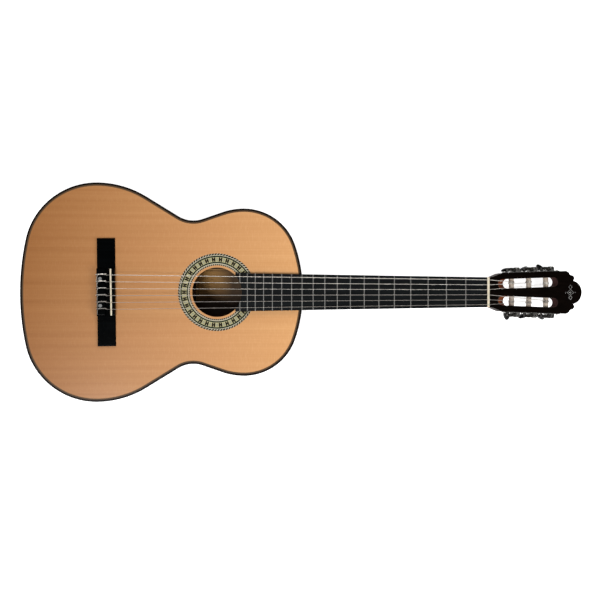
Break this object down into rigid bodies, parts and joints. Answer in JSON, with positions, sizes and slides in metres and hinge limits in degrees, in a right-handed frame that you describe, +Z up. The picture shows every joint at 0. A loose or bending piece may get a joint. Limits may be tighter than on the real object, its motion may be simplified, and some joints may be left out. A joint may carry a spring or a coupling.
{
  "type": "classical guitar",
  "caption": "Full-size nylon-string guitar with a fan-braced body, slotted head and geared tuning keys that turn the string rollers.",
  "frame": {"origin": "on the back's outer face, on the centre line, halfway along the body", "axes": "+X along the neck towards the head, +Y to the bass side, +Z up out of the soundboard; the guitar lies on its back"},
  "size_m": [1.0014, 0.3796, 0.1117],
  "materials": {
    "soundboard_wood": "gloss varnish",
    "rosette_inlay": "gloss varnish",
    "body_wood": "gloss varnish",
    "inlay_wood": "gloss varnish",
    "inner_wood": "bare",
    "neck_wood": "satin varnish",
    "black_wood": "oiled",
    "black_binding": "gloss",
    "bone": "polished",
    "pearl": "polished",
    "fret_metal": "polished",
    "tuner_metal": "polished",
    "gear_metal": "nickel-plated",
    "steel": "plated",
    "button_plastic": "gloss",
    "roller_plastic": "gloss",
    "nylon": "clear",
    "wound_string": "silver-plated winding",
    "label_paper": "plain"
  },
  "bodies": {
    "root": {"back_binding": "black_binding", "back_braces": "inner_wood", "back_lining": "inner_wood", "back_plates": "body_wood", "back_strip": "inlay_wood", "bass_side": "body_wood", "bass_tuner_plate": "tuner_metal", "bridge": "black_wood", "bridge_bolts": "steel", "bridge_dots": "pearl", "fan_braces": "inner_wood", "fretboard": "black_wood", "frets": "fret_metal", "harmonic_bars": "inner_wood", "head_veneer": "black_wood", "heel_cap": "black_wood", "label": "label_paper", "neck": "neck_wood", "neck_block": "inner_wood", "nut": "bone", "plate_screws": "steel", "rosette": "rosette_inlay", "saddle": "bone", "soundboard": "soundboard_wood", "string_1": "nylon", "string_2": "nylon", "string_3": "nylon", "string_4": "wound_string", "string_5": "wound_string", "string_6": "wound_string", "tail_block": "inner_wood", "top_binding": "black_binding", "top_lining": "inner_wood", "top_purfling": "inlay_wood", "treble_side": "body_wood", "treble_tuner_plate": "tuner_metal"},
    "key_1": {"button_1": "button_plastic", "worm_1": "tuner_metal"},
    "key_2": {"button_2": "button_plastic", "worm_2": "tuner_metal"},
    "key_3": {"button_3": "button_plastic", "worm_3": "tuner_metal"},
    "key_4": {"button_4": "button_plastic", "worm_4": "tuner_metal"},
    "key_5": {"button_5": "button_plastic", "worm_5": "tuner_metal"},
    "key_6": {"button_6": "button_plastic", "worm_6": "tuner_metal"},
    "winder_1": {"gear_1": "gear_metal", "roller_1": "roller_plastic"},
    "winder_2": {"gear_2": "gear_metal", "roller_2": "roller_plastic"},
    "winder_3": {"gear_3": "gear_metal", "roller_3": "roller_plastic"},
    "winder_4": {"gear_4": "gear_metal", "roller_4": "roller_plastic"},
    "winder_5": {"gear_5": "gear_metal", "roller_5": "roller_plastic"},
    "winder_6": {"gear_6": "gear_metal", "roller_6": "roller_plastic"}
  },
  "joints": [
    {"name": "key_6_turn", "type": "hinge", "parent": "root", "child": "key_6", "pos_m": [0.62887, 0.04096, 0.06874], "axis": [0.2437, 0, 0.9699], "continuous": true},
    {"name": "winder_6_turn", "type": "hinge", "parent": "root", "child": "winder_6", "pos_m": [0.61938, 0.035, 0.07112], "axis": [-0.0355, 0.9993, 0.0089], "continuous": true},
    {"name": "key_5_turn", "type": "hinge", "parent": "root", "child": "key_5", "pos_m": [0.66279, 0.04225, 0.06021], "axis": [0.2437, 0, 0.9699], "continuous": true},
    {"name": "winder_5_turn", "type": "hinge", "parent": "root", "child": "winder_5", "pos_m": [0.6533, 0.03628, 0.0626], "axis": [-0.0355, 0.9993, 0.0089], "continuous": true},
    {"name": "key_4_turn", "type": "hinge", "parent": "root", "child": "key_4", "pos_m": [0.69672, 0.04353, 0.05169], "axis": [0.2437, 0, 0.9699], "continuous": true},
    {"name": "winder_4_turn", "type": "hinge", "parent": "root", "child": "winder_4", "pos_m": [0.68722, 0.03757, 0.05408], "axis": [-0.0355, 0.9993, 0.0089], "continuous": true},
    {"name": "key_3_turn", "type": "hinge", "parent": "root", "child": "key_3", "pos_m": [0.69672, -0.04353, 0.05169], "axis": [0.2437, 0, 0.9699], "continuous": true},
    {"name": "winder_3_turn", "type": "hinge", "parent": "root", "child": "winder_3", "pos_m": [0.68722, -0.03757, 0.05408], "axis": [0.0355, 0.9993, -0.0089], "continuous": true},
    {"name": "key_2_turn", "type": "hinge", "parent": "root", "child": "key_2", "pos_m": [0.66279, -0.04225, 0.06021], "axis": [0.2437, 0, 0.9699], "continuous": true},
    {"name": "winder_2_turn", "type": "hinge", "parent": "root", "child": "winder_2", "pos_m": [0.6533, -0.03628, 0.0626], "axis": [0.0355, 0.9993, -0.0089], "continuous": true},
    {"name": "key_1_turn", "type": "hinge", "parent": "root", "child": "key_1", "pos_m": [0.62887, -0.04096, 0.06874], "axis": [0.2437, 0, 0.9699], "continuous": true},
    {"name": "winder_1_turn", "type": "hinge", "parent": "root", "child": "winder_1", "pos_m": [0.61938, -0.035, 0.07112], "axis": [0.0355, 0.9993, -0.0089], "continuous": true}
  ],
  "couplings": [
    {"joint": "winder_6_turn", "follows": "key_6_turn", "ratio": 0.071429},
    {"joint": "winder_5_turn", "follows": "key_5_turn", "ratio": 0.071429},
    {"joint": "winder_4_turn", "follows": "key_4_turn", "ratio": 0.071429},
    {"joint": "winder_3_turn", "follows": "key_3_turn", "ratio": 0.071429},
    {"joint": "winder_2_turn", "follows": "key_2_turn", "ratio": 0.071429},
    {"joint": "winder_1_turn", "follows": "key_1_turn", "ratio": 0.071429}
  ]
}
